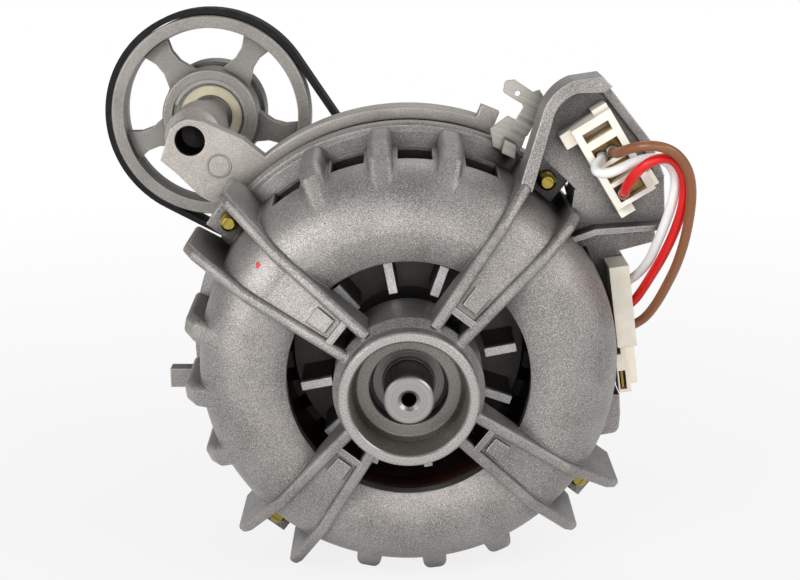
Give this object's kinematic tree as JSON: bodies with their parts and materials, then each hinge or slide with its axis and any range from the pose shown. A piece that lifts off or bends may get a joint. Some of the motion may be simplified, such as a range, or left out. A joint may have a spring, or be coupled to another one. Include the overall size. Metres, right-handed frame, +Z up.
{
  "type": "dryer motor",
  "caption": "Tumble dryer motor with ribbed cast shields, an intermediate belt pulley on a tension arm, and a wired connector on a cast bracket.",
  "frame": {"origin": "centre of the front boss's face, on the shaft axis", "axes": "+Y along the shaft towards the belt, +X to the right seen from the front, +Z up"},
  "size_m": [0.1837, 0.143, 0.1647],
  "materials": {
    "cast_aluminium": "sand-textured die casting, warm grey",
    "arm_casting": "smooth die casting",
    "pulley_casting": "smooth die casting, turned belt faces",
    "turned_steel": "turned and ground",
    "bearing_steel": "ground and polished",
    "bearing_seal": "black nitrile",
    "pulley_seal": "cream nitrile",
    "cage_brass": "pressed",
    "zinc_screw": "yellow zinc plate on steel",
    "laminations": "stacked steel sheet, varnished",
    "copper_winding": "varnished copper wire",
    "thermal_case": "black moulding",
    "rotor_casting": "bright die casting",
    "belt_rubber": "matte, flat back",
    "white_plastic": "off-white nylon",
    "cream_plastic": "cream nylon",
    "contact_brass": "pressed sheet, in shadow",
    "earth_steel": "tinned sheet",
    "white_insulation": "soft vinyl",
    "red_insulation": "soft vinyl",
    "brown_insulation": "soft vinyl"
  },
  "bodies": {
    "housing": {"front_bearing_outer_ring": "bearing_steel", "front_bearing_seals": "bearing_seal", "rear_bearing_outer_ring": "bearing_steel", "rear_bearing_seals": "bearing_seal", "bearing_spring_washer": "turned_steel", "stator_core": "laminations", "stator_winding": "copper_winding", "thermal_switch": "thermal_case", "front_shield": "cast_aluminium", "rear_shield": "cast_aluminium", "through_screws": "zinc_screw", "connector_socket": "white_plastic", "connector_contacts": "contact_brass", "motor_plug": "cream_plastic", "stator_socket": "cream_plastic", "socket_contact": "contact_brass", "white_wire": "white_insulation", "red_wire": "red_insulation", "brown_wire": "brown_insulation", "shield_clip": "earth_steel", "earth_blade": "earth_steel"},
    "rotor": {"shaft": "turned_steel", "rotor_core": "laminations", "rotor_cage": "rotor_casting", "motor_pulley": "turned_steel", "front_bearing_inner_ring": "bearing_steel", "rear_bearing_inner_ring": "bearing_steel"},
    "front_balls": {"front_bearing_balls": "bearing_steel", "front_bearing_cage": "cage_brass"},
    "rear_balls": {"rear_bearing_balls": "bearing_steel", "rear_bearing_cage": "cage_brass"},
    "tension_arm": {"tension_arm": "arm_casting", "pulley_axle": "turned_steel", "pulley_bearing_spacer": "turned_steel", "axle_circlip": "turned_steel", "pulley_front_bearing_inner_ring": "bearing_steel", "pulley_rear_bearing_inner_ring": "bearing_steel", "drive_belt": "belt_rubber"},
    "pulley": {"intermediate_pulley": "pulley_casting", "pulley_circlip": "turned_steel", "pulley_front_bearing_outer_ring": "bearing_steel", "pulley_rear_bearing_outer_ring": "bearing_steel", "pulley_front_bearing_seals": "pulley_seal", "pulley_rear_bearing_seals": "pulley_seal"},
    "pulley_balls": {"pulley_front_bearing_balls": "bearing_steel", "pulley_front_bearing_cage": "cage_brass", "pulley_rear_bearing_balls": "bearing_steel", "pulley_rear_bearing_cage": "cage_brass"}
  },
  "joints": [
    {"name": "rotor_spin", "type": "hinge", "parent": "housing", "child": "rotor", "pos_m": [0, 0, 0], "axis": [0, 1, 0], "continuous": true},
    {"name": "front_balls_spin", "type": "hinge", "parent": "housing", "child": "front_balls", "pos_m": [0, 0, 0], "axis": [0, 1, 0], "continuous": true},
    {"name": "rear_balls_spin", "type": "hinge", "parent": "housing", "child": "rear_balls", "pos_m": [0, 0, 0], "axis": [0, 1, 0], "continuous": true},
    {"name": "tension_arm_swing", "type": "hinge", "parent": "housing", "child": "tension_arm", "pos_m": [0, 0, 0], "axis": [0, 1, 0], "range_deg": [0, 9]},
    {"name": "pulley_spin", "type": "hinge", "parent": "tension_arm", "child": "pulley", "pos_m": [-0.06763, 0, 0.06089], "axis": [0, 1, 0], "continuous": true},
    {"name": "pulley_balls_spin", "type": "hinge", "parent": "tension_arm", "child": "pulley_balls", "pos_m": [-0.06763, 0, 0.06089], "axis": [0, 1, 0], "continuous": true}
  ],
  "couplings": [
    {"joint": "front_balls_spin", "follows": "rotor_spin", "ratio": 0.382},
    {"joint": "rear_balls_spin", "follows": "rotor_spin", "ratio": 0.382},
    {"joint": "pulley_spin", "follows": "rotor_spin", "ratio": 0.34985},
    {"joint": "pulley_balls_spin", "follows": "rotor_spin", "ratio": 0.2206}
  ]
}
